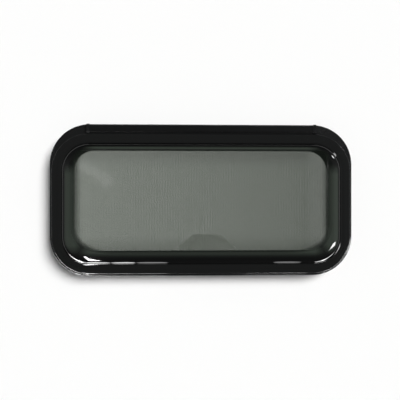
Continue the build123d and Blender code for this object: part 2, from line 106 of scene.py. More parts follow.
class WindowSizes(bpy.types.PropertyGroup):
    """Sizes of the pieces that are made here."""

    pane_corner: length("Pane corner", "Corner radius of the sash", 0.110)
    pane_sheet: length("Pane sheet", "Thickness of the outer pane", 0.0035)
    rim_width: length("Rim width", "Flat rim round the dome", 0.028)
    rim_edge: length("Rim edge", "Rounding of the rim's outer edge", 0.0022)
    dome_height: length("Dome height", "Rise of the dome above the rim", 0.016)
    dome_slope: tilt("Dome slope", "Lean of the dome's side", 40)
    dome_foot: length("Dome foot", "Radius of the hollow at the dome's foot", 0.006)
    crown_share: share("Crown share", "Part of the slope that the crown's rounding takes up", 0.9)
    border_width: length("Border width", "Black border, from the sash's edge inwards", 0.037)
    border_fade: length("Border fade", "Width over which the border fades out", 0.015)
    # The grey band is painted light, standing in for the lit screen guides behind the pane
    band_width: length("Band width", "Dark grey band inside the border, at the sides", 0.004)
    side_fade: length("Side fade", "Width over which that band fades out", 0.052)
    clear_corner: length("Clear corner", "Height of the clear area's rounded corners at the bottom", 0.1)
    clear_sweep: length("Clear sweep", "Width of those corners", 0.17)
    mesh_pitch: length("Mesh pitch", "Distance between the screen's threads", 0.0016)
    stripe_pitch: length("Stripe pitch", "Distance between the screen's faint stripes", 0.0081)
    screw_head: length("Screw head", "Radius of a trim screw's head", 0.0042)
    small_screw: length("Small screw", "Radius of a screw's head on the latches and stays", 0.0023)
    bracket_plate: length("Bracket plate", "Thickness of the stay brackets' plates", 0.002)
    screw_margin: length("Screw margin", "Distance of the trim's screws from its edge", 0.031)
    screw_spread: share("Screw spread", "Part of the half width that the trim's outer screws stand out", 0.62)
    screw_inner: share("Screw inner", "Part of that distance for the two screws between them", 0.34)
    side_screw: length("Side screw", "Height of the trim's side screws over the middle, and under it", 0.085)


class WindowFinishes(bpy.types.PropertyGroup):
    """Colours of the finishes."""

    frame_black: colour("Frame black", "Powder coat on the frame", (0.0075, 0.0078, 0.0079))
    hinge_black: colour("Hinge black", "Coat on the hinge rail and its leaf", (0.0045, 0.0047, 0.0048))
    border_black: colour("Border black", "Border of the outer pane", (0.0070, 0.0074, 0.0073))
    # The border painted darker on the dome's slope: painted shade, since the print itself is the same there
    slope_shaded_black: colour("Slope black", "Border where it climbs the dome", (0.0022, 0.0024, 0.0024))
    # A grey band painted into the border, standing in for the lit screen guides behind the pane
    lit_band_grey: colour("Band grey", "Band inside the black border", (0.031, 0.038, 0.031))
    smoke_tint: colour("Smoke tint", "Tint of the outer pane", (0.008, 0.011, 0.008))
    smoke_cover: share("Smoke cover", "How much of the view the outer pane's tint takes", 0.42)
    back_cover: share("Back cover", "How much of the view the outer pane's back skin takes", 0.03)
    clear_tint: colour("Clear tint", "Tint of the inner pane", (0.04, 0.046, 0.042))
    clear_cover: share("Clear cover", "How much of the view each skin of the inner pane takes", 0.05)
    mesh_grey: colour("Mesh grey", "Threads of the fly screen", (0.15, 0.185, 0.135))
    mesh_cover: share("Mesh cover", "Part of the pitch that a thread takes", 0.28)
    seal_black: colour("Seal black", "Rubber of the weather seal", (0.010, 0.010, 0.011))
    profile_black: colour("Profile black", "Screen cassette, sill and pull rail", (0.016, 0.0165, 0.017))
    # A lighter copy of the profiles' black: painted light standing in for light falling on the screen guides
    guide_lit_grey: colour("Guide grey", "Screen guides", (0.090, 0.098, 0.090))
    cap_black: colour("Cap black", "End caps of the hinge", (0.006, 0.0062, 0.0066))
    grip_grey: colour("Grip grey", "Grip and catch of the screen", (0.575, 0.60, 0.555))
    trim_grey: colour("Trim grey", "Inner trim", (0.032, 0.033, 0.034))
    latch_black: colour("Latch black", "Latches and stay fittings", (0.018, 0.018, 0.019))
    stay_metal: colour("Stay metal", "Stay tubes, rods and brackets", (0.06, 0.061, 0.063))


class WindowStage(bpy.types.PropertyGroup):
    """Camera, lights and surroundings."""

    view_width: length("View width", "Width that the camera sees at the window", 1.188)
    view_turn: tilt("View turn", "Turn of the camera to the left", 2.1)
    lens: amount("Lens", "Focal length", 50.0, "CAMERA")
    backdrop: colour("Backdrop", "Colour of the backdrop and the floor", (0.93, 0.93, 0.925))
    ambient: amount("Ambient", "Strength of the surroundings", 0.2)
    key_light: amount("Key light", "Strength of the large soft key", 3.48)
    key_width: tilt("Key width", "Angle that the key takes up", 28)
    side_light: amount("Side light", "Strength of the soft walls of light beside the camera", 0.25)
    # Strength of the painted glow that stands in for room light behind the panes
    room_light: amount("Room light", "Brightness of the backdrop behind the panes", 0.55)
    back_power: amount("Back power", "Power of the lamp on the room side", 40.0, "POWER")
    glint: amount("Glint", "Brightness of the lamps that only show as glints", 40.0)


class Wire:
    """A socket of a material's tree. Arithmetic on it adds Math nodes."""

    def __init__(self, finish, socket):
        self.finish = finish
        self.socket = socket

    def math(self, operation, *others, clamp=False):
        """A Math node whose first value is this wire."""
        settings = {"operation": operation, "use_clamp": clamp}
        return self.finish.node("ShaderNodeMath", settings, (self, *others))

    def __add__(self, other):
        return self.math("ADD", other)

    __radd__ = __add__

    def __sub__(self, other):
        return self.math("SUBTRACT", other)

    def __rsub__(self, other):
        return self.finish.node("ShaderNodeMath", {"operation": "SUBTRACT"}, (other, self))

    def __mul__(self, other):
        return self.math("MULTIPLY", other)

    def __truediv__(self, other):
        return self.math("DIVIDE", other)

    def __abs__(self):
        return self.math("ABSOLUTE")

    def ramp(self, start, end):
        """0 at the start and 1 at the end, held level beyond them."""
        return (self - start).math("DIVIDE", end - start, clamp=True)


class Finish:
    """A procedural material that is built node by node."""

    def __init__(self, name, holder=None):
        self.material = holder or bpy.data.materials.new(name)
        self.material.use_nodes = True
        self.tree = self.material.node_tree
        self.tree.nodes.clear()

    def node(self, kind, settings=None, inputs=(), output=0):
        """Adds a node, sets it up, fills its sockets and gives one of its outputs."""
        node = self.tree.nodes.new(kind)
        for name, value in (settings or {}).items():
            setattr(node, name, value)
        pairs = inputs.items() if isinstance(inputs, dict) else enumerate(inputs)
        for key, value in pairs:
            if isinstance(value, Wire):
                self.tree.links.new(value.socket, node.inputs[key])
            else:
                node.inputs[key].default_value = value
        return Wire(self, node.outputs[output]) if node.outputs else None

    def place(self, output="Object"):
        """Coordinates as one vector."""
        return self.node("ShaderNodeTexCoord", output=output)

    def axes(self, vector):
        """The three parts of a vector."""
        return [self.node("ShaderNodeSeparateXYZ", {}, {"Vector": vector}, axis) for axis in "XYZ"]

    def stretch(self, vector, scale):
        """A vector scaled along each axis."""
        return self.node("ShaderNodeMapping", {}, {"Vector": vector, "Scale": scale})

    def noise(self, vector, scale, detail=3.0, rough=0.5):
        """Soft noise from 0 to 1."""
        inputs = {"Vector": vector, "Scale": scale, "Detail": detail, "Roughness": rough}
        return self.node("ShaderNodeTexNoise", {}, inputs)

    def mix(self, factor, first, second):
        """A blend of two colours."""
        ends = [(*tone, 1.0) if isinstance(tone, tuple) else tone for tone in (first, second)]
        inputs = {0: factor, 6: ends[0], 7: ends[1]}
        return self.node("ShaderNodeMix", {"data_type": "RGBA"}, inputs, 2)

    def bump(self, height, distance, strength):
        """A bumped normal."""
        inputs = {"Height": height, "Distance": distance, "Strength": strength}
        return self.node("ShaderNodeBump", {}, inputs)

    def surface(self, **inputs):
        """The Principled surface. Underscores stand for the spaces in socket names."""
        sockets = {name.replace("_", " "): value for name, value in inputs.items()}
        shader = self.node("ShaderNodeBsdfPrincipled", {}, sockets)
        self.node("ShaderNodeOutputMaterial", {}, {"Surface": shader})
        self.material.use_transparent_shadow = True
        return self.material


def shade(tone, factor):
    """A colour made lighter or darker."""
    return tuple(min(1.0, channel * factor) for channel in tone)


def coated_metal(name, tone, rough=0.42, drawn=None, gloss=0.28):
    """Black coat on metal: faint orange peel, dust and, on an extrusion, drawing lines along it."""
    finish = Finish(name)
    vector = finish.place()
    dust = finish.noise(vector, 55.0, 6.0, 0.62)
    peel = finish.noise(vector, 900.0, 2.0)
    if drawn:
        peel = finish.noise(finish.stretch(vector, drawn), 1.0, 3.0) * 0.7 + peel * 0.3
    mark = (dust - 0.55).math("MULTIPLY", 3.0, clamp=True)
    return finish.surface(
        Base_Color=finish.mix(mark * 0.5, tuple(tone), shade(tone, 2.2)),
        Roughness=rough - 0.06 + dust * 0.16,
        Normal=finish.bump(peel, 0.00012, 0.5),
        Specular_IOR_Level=gloss,
    )


def grained_plastic(name, tone, grain=1400.0, rough=0.5, depth=0.00012, gloss=0.45):
    """Moulded plastic with a fine grain and slight clouding."""
    finish = Finish(name)
    vector = finish.place()
    cloud = finish.noise(vector, 18.0, 4.0)
    cells = finish.node("ShaderNodeTexVoronoi", {}, {"Vector": vector, "Scale": grain})
    return finish.surface(
        Base_Color=finish.mix(cloud, shade(tone, 0.9), shade(tone, 1.1)),
        Roughness=rough - 0.05 + cloud * 0.12,
        Normal=finish.bump(cells, depth, 0.5),
        Specular_IOR_Level=gloss,
    )


def soft_rubber(name, tone):
    """Matte rubber with a bloom of dust."""
    finish = Finish(name)
    vector = finish.place()
    bloom = finish.noise(vector, 40.0, 5.0, 0.6)
    fine = finish.noise(vector, 1800.0, 2.0)
    return finish.surface(
        Base_Color=finish.mix(bloom, tuple(tone), shade(tone, 1.9)),
        Roughness=0.68 + bloom * 0.18,
        Normal=finish.bump(fine, 0.00008, 0.5),
        Specular_IOR_Level=0.3,
    )


def satin_metal(name, tone):
    """Satin aluminium with brushing along its length."""
    finish = Finish(name)
    vector = finish.place()
    brush = finish.noise(finish.stretch(vector, (3000.0, 3000.0, 30.0)), 1.0, 2.0)
    cloud = finish.noise(vector, 60.0, 4.0)
    return finish.surface(
        Base_Color=finish.mix(cloud, shade(tone, 0.85), shade(tone, 1.1)),
        Metallic=1.0,
        Roughness=0.3 + brush * 0.16,
        Normal=finish.bump(brush, 0.00003, 0.4),
    )


def edge_distance(x, z, low, high, corner):
    """Distance inwards from a rounded rectangle's outline, as a wire."""
    middle = (low + high) / 2
    half = (high - low) / 2
    across = abs(x - middle.x) - (half.x - corner)
    upright = abs(z - middle.z) - (half.z - corner)
    far_x = across.math("MAXIMUM", 0.0)
    far_z = upright.math("MAXIMUM", 0.0)
    outside = (far_x * far_x + far_z * far_z).math("SQRT")
    inside = across.math("MAXIMUM", upright).math("MINIMUM", 0.0)
    return corner - outside - inside


# Fades into the pane's clear area, in metres inwards from the black border
TOP_FADE = (0.005, 0.014)
BOTTOM_FADE = (0.019, 0.033)
CORNER_RISE = 0.011
CORNER_FADE = 0.02

# Fades of the border's grey band, which is painted light, in metres inwards from the sash's edge
SIDE_REACH = (0.1, 0.07)
TOP_REACH = (0.09, 0.06)
SIDE_FOOT = (0.055, 0.085)
CORNER_ACROSS = (0.13, 0.09)
CORNER_DOWN = (0.12, 0.09)
LOW_REACH = (0.1, 0.075)
LOW_ENDS = (0.06, 0.11)

# Starts of that grey band of painted light, in metres inwards from the black border
BAND_START = (0.0, 0.006)
LOW_START = (0.007, 0.027)

# Width of the border's uneven edge, and the strip where it turns from the rim to the dome and is painted
# darker as shade, in metres
RAGGED_EDGE = 0.002
CLIMB = (-0.003, 0.001)


def fade(distance, base, ends):
    """0 to 1 between two distances that are measured from a base."""
    return distance.ramp(base + ends[0], base + ends[1])


def clear_share(sizes, ragged, sideways, upper, lower):
    """How clear the outer pane is: 0 in its border and 1 inside, with rounded lower corners."""
    border = sizes.border_width
    far_x = (border + sizes.clear_sweep - sideways).math("MAXIMUM", 0.0)
    far_x = far_x * (sizes.clear_corner / sizes.clear_sweep)
    far_z = (border + CORNER_RISE + sizes.clear_corner - lower).math("MAXIMUM", 0.0)
    rounded = (far_x * far_x + far_z * far_z).math("SQRT")
    clear = fade(sideways, border + sizes.band_width, (0.0, sizes.side_fade))
    clear = clear * fade(rounded, sizes.clear_corner, (0.0, -CORNER_FADE))
    clear = clear * fade(upper, border, TOP_FADE) * fade(lower, border, BOTTOM_FADE)
    clear = clear * fade(ragged, border, (0.0, sizes.border_fade))
    return clear * clear * (3.0 - clear * 2.0)


def lit_band_share(sizes, ragged, sideways, upper, lower):
    """Where the border is painted dark grey as light: beside the clear area, above it and, softly, along its
    lower edge. The band stands in for the lit screen guides seen through the pane, and along the lower edge
    for a soft fall of light into the black.
    """
    border = sizes.border_width
    beside = sideways.ramp(*SIDE_REACH).math("MAXIMUM", upper.ramp(*TOP_REACH)) * lower.ramp(*SIDE_FOOT)
    corner = sideways.ramp(*CORNER_ACROSS) * upper.ramp(*CORNER_DOWN)
    lit_band = fade(ragged, border, BAND_START) * beside * (1.0 - corner)
    along = fade(lower, border, LOW_START) * lower.ramp(*LOW_REACH) * sideways.ramp(*LOW_ENDS)
    return lit_band.math("MAXIMUM", along * along)


def smoked_acrylic(name, sizes, finishes, cover):
    """Gloss smoke-tinted acrylic with a black border that fades out over the dome's shoulder. On the dome's
    slope the border is painted darker as shade, and a grey band painted inside it stands in for light.
    """
    finish = Finish(name)
    vector = finish.place()
    x, _, z = finish.axes(vector)
    inward = edge_distance(x, z, Vector(PANE_LOW), Vector(PANE_HIGH), sizes.pane_corner)
    ragged = inward + (finish.noise(vector, 260.0, 2.0) - 0.5) * RAGGED_EDGE
    middle = (PANE_LOW[0] + PANE_HIGH[0]) / 2
    sideways = (PANE_HIGH[0] - middle) - abs(x - middle)
    upper = PANE_HIGH[2] - z
    lower = z - PANE_LOW[2]
    clear = clear_share(sizes, ragged, sideways, upper, lower)
    # Painted light: a grey band inside the border at the sides and along the bottom
    lit_band = lit_band_share(sizes, ragged, sideways, upper, lower)
    # Painted shade: the border turns darker where it climbs the dome's slope
    slope_shade_mask = fade(inward, sizes.rim_width, CLIMB)
    edge = finish.mix(slope_shade_mask, tuple(finishes.border_black), tuple(finishes.slope_shaded_black))
    edge = finish.mix(lit_band, edge, tuple(finishes.lit_band_grey))
    smear = finish.noise(vector, 9.0, 5.0, 0.6)
    wave = finish.noise(vector, 16.0, 2.0)
    relief = wave + finish.noise(vector, 75.0, 2.0) * 0.05
    return finish.surface(
        Base_Color=finish.mix(clear, edge, tuple(finishes.smoke_tint)),
        Roughness=0.035 + smear * 0.05,
        Alpha=1.0 - clear * (1.0 - cover),
        Normal=finish.bump(relief, 0.0012, 0.35),
        Specular_IOR_Level=0.36,
        IOR=1.49,
    )


def clear_acrylic(name, tone, cover):
    """Thin clear acrylic with a slight tint and faint wiping marks."""
    finish = Finish(name)
    vector = finish.place()
    wipe = finish.noise(finish.stretch(vector, (6.0, 6.0, 40.0)), 1.0, 4.0)
    return finish.surface(
        Base_Color=(*tone, 1.0),
        Roughness=0.05 + wipe * 0.08,
        Alpha=cover + wipe * 0.015,
        IOR=1.49,
    )


# Softness of a thread's edge, as a part of half the pitch, and where patches of stripes start and end
THREAD_EDGE = 0.12
PATCH_RANGE = (0.3, 0.62)


def woven_mesh(sizes, finishes):
    """Fly-screen mesh: threads both ways, open between them, with faint stripes along the warp."""
    finish = Finish("woven_mesh")
    vector = finish.place()
    x, _, z = finish.axes(vector)

    def threads(along):
        """One set of threads: 1 on a thread and 0 between two."""
        ridge = abs((along / sizes.mesh_pitch).math("FRACT") - 0.5) * 2.0
        return fade(ridge, 1.0 - finishes.mesh_cover, (0.0, THREAD_EDGE))

    warp = threads(x)
    weft = threads(z)
    cover = warp.math("MAXIMUM", weft)
    patch = finish.noise(vector, 24.0, 2.0).ramp(*PATCH_RANGE)
    stripe = (x * (2.0 * math.pi / sizes.stripe_pitch)).math("SINE") * patch
    slub = finish.noise(finish.stretch(vector, (320.0, 320.0, 9.0)), 1.0, 2.0)
    veil = 0.05 + stripe * 0.06 + (slub - 0.5) * 0.06
    tone = tuple(finishes.mesh_grey)
    return finish.surface(
        Base_Color=finish.mix(slub - stripe * 0.5, shade(tone, 0.8), shade(tone, 1.25)),
        Roughness=0.75 + slub * 0.15,
        Alpha=(veil + cover * 0.9).math("MINIMUM", 1.0),
        Normal=finish.bump(warp + weft, 0.0001, 0.6),
        Specular_IOR_Level=0.2,
    )


def cloudy_black(name, tone):
    """Adhesive bead seen through the acrylic."""
    finish = Finish(name)
    vector = finish.place()
    cloud = finish.noise(vector, 120.0, 4.0)
    return finish.surface(
        Base_Color=finish.mix(cloud, tuple(tone), shade(tone, 2.0)),
        Roughness=0.5 + cloud * 0.2,
    )


def dress(material, *names):
    """Gives CAD nodes a finish, and smooth shading where their faces meet gently."""
    for name in names:
        node = NODES[name]
        node.data.materials.clear()
        node.data.materials.append(material)
        soften(node)


def both(stem):
    """The left and right node of a pair."""
    return [f"{stem}_{hand}" for hand in HANDS]


def soften(piece):
    """Smooth shading up to an angle, as a modifier, so that the mesh itself stays."""
    piece.modifiers.new("soft_shading", "NODES").node_group = soft_shading()


# Points nearer than this are joined for shading, and edges sharper than this stay sharp
JOIN_DISTANCE = 0.000004
SHARP_ANGLE = math.radians(32)


def soft_shading():
    """The node group that joins a mesh's triangles and shades them smooth, with sharp edges kept."""
    group = bpy.data.node_groups.get("soft_shading")
    if group:
        return group
    group = bpy.data.node_groups.new("soft_shading", "GeometryNodeTree")
    group.interface.new_socket("Geometry", in_out="INPUT", socket_type="NodeSocketGeometry")
    group.interface.new_socket("Geometry", in_out="OUTPUT", socket_type="NodeSocketGeometry")
    source = group.nodes.new("NodeGroupInput")
    result = group.nodes.new("NodeGroupOutput")
    merge = group.nodes.new("GeometryNodeMergeByDistance")
    merge.inputs["Distance"].default_value = JOIN_DISTANCE
    smooth = group.nodes.new("GeometryNodeSetShadeSmooth")
    smooth.domain = "FACE"
    sharp = group.nodes.new("GeometryNodeSetShadeSmooth")
    sharp.domain = "EDGE"
    sharp.inputs["Shade Smooth"].default_value = False
    angle = group.nodes.new("GeometryNodeInputMeshEdgeAngle")
    over = group.nodes.new("FunctionNodeCompare")
    over.operation = "GREATER_THAN"
    over.inputs[1].default_value = SHARP_ANGLE
    group.links.new(source.outputs[0], merge.inputs["Geometry"])
    group.links.new(merge.outputs[0], smooth.inputs["Geometry"])
    group.links.new(smooth.outputs[0], sharp.inputs["Geometry"])
    group.links.new(angle.outputs["Unsigned Angle"], over.inputs[0])
    group.links.new(over.outputs[0], sharp.inputs["Selection"])
    group.links.new(sharp.outputs[0], result.inputs[0])
    return group


def piece_from(bm, name, *materials, slot=None, smooth=True):
    """Makes a finished piece of a bmesh, which rides on the window."""
    mesh = bpy.data.meshes.new(name)
    bm.to_mesh(mesh)
    bm.free()
    if smooth:
        mesh.shade_smooth()
    for material in materials:
        mesh.materials.append(material)
    piece = bpy.data.objects.new(name, mesh)
    bpy.context.scene.collection.objects.link(piece)
    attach(piece, "root")
    return piece


def rounded_plate(bm, low, high, corner, segments):
    """One upright face with rounded corners, facing the outside."""
    low, high = Vector(low), Vector(high)
    corners = ((low.x, low.z), (high.x, low.z), (high.x, high.z), (low.x, high.z))
    verts = [bm.verts.new((x, low.y, z)) for x, z in corners]
    bm.faces.new(verts)
    bmesh.ops.bevel(
        bm,
        geom=verts,
        offset=corner,
        offset_type="OFFSET",
        affect="VERTICES",
        segments=segments,
        profile=0.5,
        material=-1,
    )
    bm.normal_update()
    face = max(bm.faces, key=lambda f: f.calc_area())
    if face.normal.y > 0:
        face.normal_flip()
    return face


def arc_steps(radius, start, end, count):
    """Steps inwards and forwards along an arc, whose angles are measured from the rim's plane."""
    points = []
    for number in range(count + 1):
        turn = start + (end - start) * number / count
        points.append((radius * math.sin(turn), radius * math.cos(turn)))
    return [(abs(b[0] - a[0]), abs(b[1] - a[1])) for a, b in zip(points, points[1:])]


# A screw head's shape, in parts of its radius: steps inwards and up, then the cross recess
HEAD_STEPS = ((0.05, 0.15), (0.15, 0.12), (0.25, 0.05))
CROSS_REACH = 0.44
CROSS_WAIST = 0.3
CROSS_TAPER = 0.7
CROSS_DEPTH = 0.22

# Turn from one screw of a group to the next, in radians
SCREW_TURN = 0.7


def add_screw(bm, radius, place, facing, turn):
    """One low screw head with a rounded edge and a cross recess, on a face that looks along a direction."""
    before = set(bm.verts)
    disc = bmesh.ops.create_circle(bm, cap_ends=True, segments=32, radius=radius)["verts"]
    face = disc[0].link_faces[0]
    if face.normal.z < 0:
        face.normal_flip()
    for inward, up in HEAD_STEPS:
        step = {"thickness": inward * radius, "depth": up * radius}
        bmesh.ops.inset_region(bm, faces=[face], use_even_offset=True, use_boundary=True, **step)
    ring = face.edges[:]
    level = face.verts[0].co.z
    bmesh.ops.delete(bm, geom=[face], context="FACES_ONLY")
    cross = bmesh.ops.create_circle(bm, cap_ends=False, segments=8, radius=CROSS_REACH * radius)["verts"]
    for number, vert in enumerate(cross):
        vert.co = vert.co * (CROSS_WAIST if number % 2 else 1.0) + Vector((0.0, 0.0, level))
    slots = list({edge for vert in cross for edge in vert.link_edges})
    bmesh.ops.triangle_fill(bm, edges=ring + slots, use_beauty=True, normal=(0.0, 0.0, 1.0))
    made = bmesh.ops.extrude_edge_only(bm, edges=slots)["geom"]
    sunk = [item for item in made if isinstance(item, bmesh.types.BMVert)]
    bmesh.ops.scale(bm, vec=(CROSS_TAPER, CROSS_TAPER, 1.0), verts=sunk)
    bmesh.ops.translate(bm, vec=(0.0, 0.0, -CROSS_DEPTH * radius), verts=sunk)
    verts = [vert for vert in bm.verts if vert not in before]
    open_edges = [edge for edge in bm.edges if edge.is_boundary and edge.verts[0] not in before]
    bmesh.ops.holes_fill(bm, edges=open_edges)
    faces = list({face for vert in verts for face in vert.link_faces})
    bmesh.ops.recalc_face_normals(bm, faces=faces)
    look = Vector(facing).to_track_quat("Z", "Y").to_matrix().to_4x4() @ Matrix.Rotation(turn, 4, "Z")
    bmesh.ops.transform(bm, matrix=Matrix.Translation(place) @ look, verts=verts)


def screws(name, radius, places, tone):
    """A group of like screws, each given by its place and the direction that its head faces."""
    bm = bmesh.new()
    for number, (place, facing) in enumerate(places):
        add_screw(bm, radius, Vector(place), facing, number * SCREW_TURN)
    metal = satin_metal(f"{name}_metal", shade(tone, 2.0))
    soften(piece_from(bm, name, metal, slot="stay_metal", smooth=False))


# Steps in the outer pane's curves, and the last step onto its flat top in metres
CORNER_STEPS = 40
EDGE_STEPS = 4
FOOT_STEPS = 8
CROWN_STEPS = 14
TOP_STEP = 0.004


class WINDOW_OT_outer_pane(bpy.types.Operator):
    """Form the outer pane from one sheet: rim, hollow foot, slope and rounded crown"""

    bl_idname = "window.outer_pane"
    bl_label = "Outer pane"

    def execute(self, context):
        sizes = context.scene.window_sizes
        lean = math.pi / 2 - sizes.dome_slope
        foot_run = sizes.dome_foot * math.tan(lean / 2)
        slope_length = sizes.dome_height / math.cos(sizes.dome_slope)
        crown = sizes.crown_share * (slope_length - foot_run) / math.tan(lean / 2)
        crown_run = crown * math.tan(lean / 2)
        straight = slope_length - foot_run - crown_run
        edge = sizes.rim_edge
        level = PANE_LOW[1] + sizes.dome_height + edge
        low = (PANE_LOW[0], level, PANE_LOW[2])
        high = (PANE_HIGH[0], level, PANE_HIGH[2])
        bm = bmesh.new()
        face = rounded_plate(bm, low, high, sizes.pane_corner, CORNER_STEPS)
        steps = arc_steps(edge, math.pi / 2, 0.0, EDGE_STEPS)
        steps.append((sizes.rim_width - edge - foot_run, 0.0))
        steps += arc_steps(sizes.dome_foot, 0.0, lean, FOOT_STEPS)
        steps.append((straight * math.sin(sizes.dome_slope), straight * math.cos(sizes.dome_slope)))
        steps += arc_steps(crown, lean, 0.0, CROWN_STEPS)
        steps.append((TOP_STEP, 0.0))
        for inward, forward in steps:
            step = {"thickness": inward, "depth": forward}
            bmesh.ops.inset_region(bm, faces=[face], use_even_offset=True, use_boundary=True, **step)
        bm.normal_update()
        bmesh.ops.solidify(bm, geom=bm.faces[:], thickness=sizes.pane_sheet)
        bmesh.ops.recalc_face_normals(bm, faces=bm.faces[:])
        finishes = context.scene.window_finishes
        for face in bm.faces:
            face.material_index = int(face.normal.y > 0.0)
        front = smoked_acrylic("smoked_acrylic", sizes, finishes, finishes.smoke_cover)
        back = smoked_acrylic("smoked_acrylic_back", sizes, finishes, finishes.back_cover)
        pane = piece_from(bm, "outer_pane_skin", front, back, slot="smoke_acrylic")
        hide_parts("outer_pane")
        return {"FINISHED"}


class WINDOW_OT_inner_pane(bpy.types.Operator):
    """Finish the inner pane and the bond between the panes"""

    bl_idname = "window.inner_pane"
    bl_label = "Inner pane"

    def execute(self, context):
        finishes = context.scene.window_finishes
        dress(clear_acrylic("tinted_acrylic", finishes.clear_tint, finishes.clear_cover), "inner_pane")
        dress(cloudy_black("black_bond", finishes.border_black), "edge_bond")
        NODES["inner_pane"].visible_shadow = False
        return {"FINISHED"}


class WINDOW_OT_fixed_frame(bpy.types.Operator):
    """Finish the fixed frame and its seal"""

    bl_idname = "window.fixed_frame"
    bl_label = "Fixed frame"

    def execute(self, context):
        finishes = context.scene.window_finishes
        dress(coated_metal("powder_black", finishes.frame_black, 0.2), "outer_frame")
        dress(soft_rubber("seal_rubber", finishes.seal_black), "weather_seal")
        return {"FINISHED"}


class WINDOW_OT_hinge(bpy.types.Operator):
    """Finish the hinge rail, its leaf and its end caps"""

    bl_idname = "window.hinge"
    bl_label = "Hinge"

    def execute(self, context):
        finishes = context.scene.window_finishes
        drawn = coated_metal("drawn_black", finishes.hinge_black, 0.42, (4.0, 900.0, 900.0), 0.2)
        dress(drawn, "hinge_rail", "hinge_leaf")
        moulded = grained_plastic("cap_plastic", finishes.cap_black, 1500.0, 0.45, gloss=0.25)
        dress(moulded, *both("hinge_cap"))
        return {"FINISHED"}


class WINDOW_OT_fly_screen(bpy.types.Operator):
    """Stretch the fly screen and finish its cassette, guides, sill, rail and grip"""

    bl_idname = "window.fly_screen"
    bl_label = "Fly screen"

    def execute(self, context):
        sizes = context.scene.window_sizes
        finishes = context.scene.window_finishes
        low, high = Vector(SCREEN_LOW), Vector(SCREEN_HIGH)
        middle = (low + high) / 2
        size = high - low
        bm = bmesh.new()
        bmesh.ops.create_grid(bm, x_segments=40, y_segments=16, size=0.5)
        bmesh.ops.scale(bm, vec=(size.x, size.z, 1.0), verts=bm.verts[:])
        bmesh.ops.rotate(bm, matrix=Matrix.Rotation(math.pi / 2, 3, "X"), verts=bm.verts[:])
        bmesh.ops.translate(bm, vec=middle, verts=bm.verts[:])
        screen = piece_from(bm, "screen_weave", woven_mesh(sizes, finishes), slot="screen_mesh")
        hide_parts("fly_screen")
        screen.visible_shadow = False
        profile = grained_plastic("screen_profile", finishes.profile_black, 1600.0, 0.48)
        dress(profile, "screen_cassette", "screen_sill")
        # The guides take a lighter copy of the cassette's black, painted light standing in for light falling
        # on them
        dress(grained_plastic("guide_profile_lit", finishes.guide_lit_grey, 1600.0, 0.48), *both("screen_guide"))
        drawn = coated_metal("rail_black", finishes.profile_black, 0.4, (4.0, 800.0, 800.0))
        dress(drawn, "screen_pull_rail")
        dress(grained_plastic("grip_plastic", finishes.grip_grey, 1200.0, 0.42), "screen_grip")
        light = shade(finishes.grip_grey, 1.2)
        dress(grained_plastic("catch_plastic", light, 1200.0, 0.42), "screen_catch")
        return {"FINISHED"}


class WINDOW_OT_inner_trim(bpy.types.Operator):
    """Finish the inner trim and set its screws"""

    bl_idname = "window.inner_trim"
    bl_label = "Inner trim"

    def execute(self, context):
        sizes = context.scene.window_sizes
        finishes = context.scene.window_finishes
        dress(grained_plastic("trim_plastic", finishes.trim_grey, 1100.0, 0.5, 0.0002), "inner_trim")
        half_x = TRIM_HIGH[0] - sizes.screw_margin
        half_z = TRIM_HIGH[2] - sizes.screw_margin
        outer = half_x * sizes.screw_spread
        inner = outer * sizes.screw_inner
        places = [(x, side * half_z) for side in (-1, 1) for x in (-outer, -inner, inner, outer)]
        places += [(side * half_x, z * sizes.side_screw) for side in (-1, 1) for z in (-1, 1)]
        heads = [((x, TRIM_HIGH[1], z), (0.0, 1.0, 0.0)) for x, z in places]
        screws("trim_screws", sizes.screw_head, heads, finishes.stay_metal)
        return {"FINISHED"}


# Distance of the small screws from the end of a latch and of a stay's bracket, in head radii
LATCH_INSET = 2.4
STAY_INSET = 2


class WINDOW_OT_latches(bpy.types.Operator):
    """Finish the latches and their keepers"""

    bl_idname = "window.latches"
    bl_label = "Latches"

    def execute(self, context):
        finishes = context.scene.window_finishes
        sizes = context.scene.window_sizes
        moulded = grained_plastic("latch_plastic", finishes.latch_black, 1500.0, 0.35)
        dress(moulded, *both("latch_base"), *both("latch_handle"))
        dress(satin_metal("keeper_metal", finishes.stay_metal), *both("latch_keeper"))
        heads = []
        for side, name in zip((-1, 1), both("latch_base")):
            low, high = Vector(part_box(name)[0]), Vector(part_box(name)[1])
            middle = (low + high) / 2
            x = middle.x + side * ((high.x - low.x) / 2 - sizes.small_screw * LATCH_INSET)
            heads.append(((x, high.y, middle.z), (0.0, 1.0, 0.0)))
        screws("latch_screws", sizes.small_screw, heads, finishes.stay_metal)
        return {"FINISHED"}


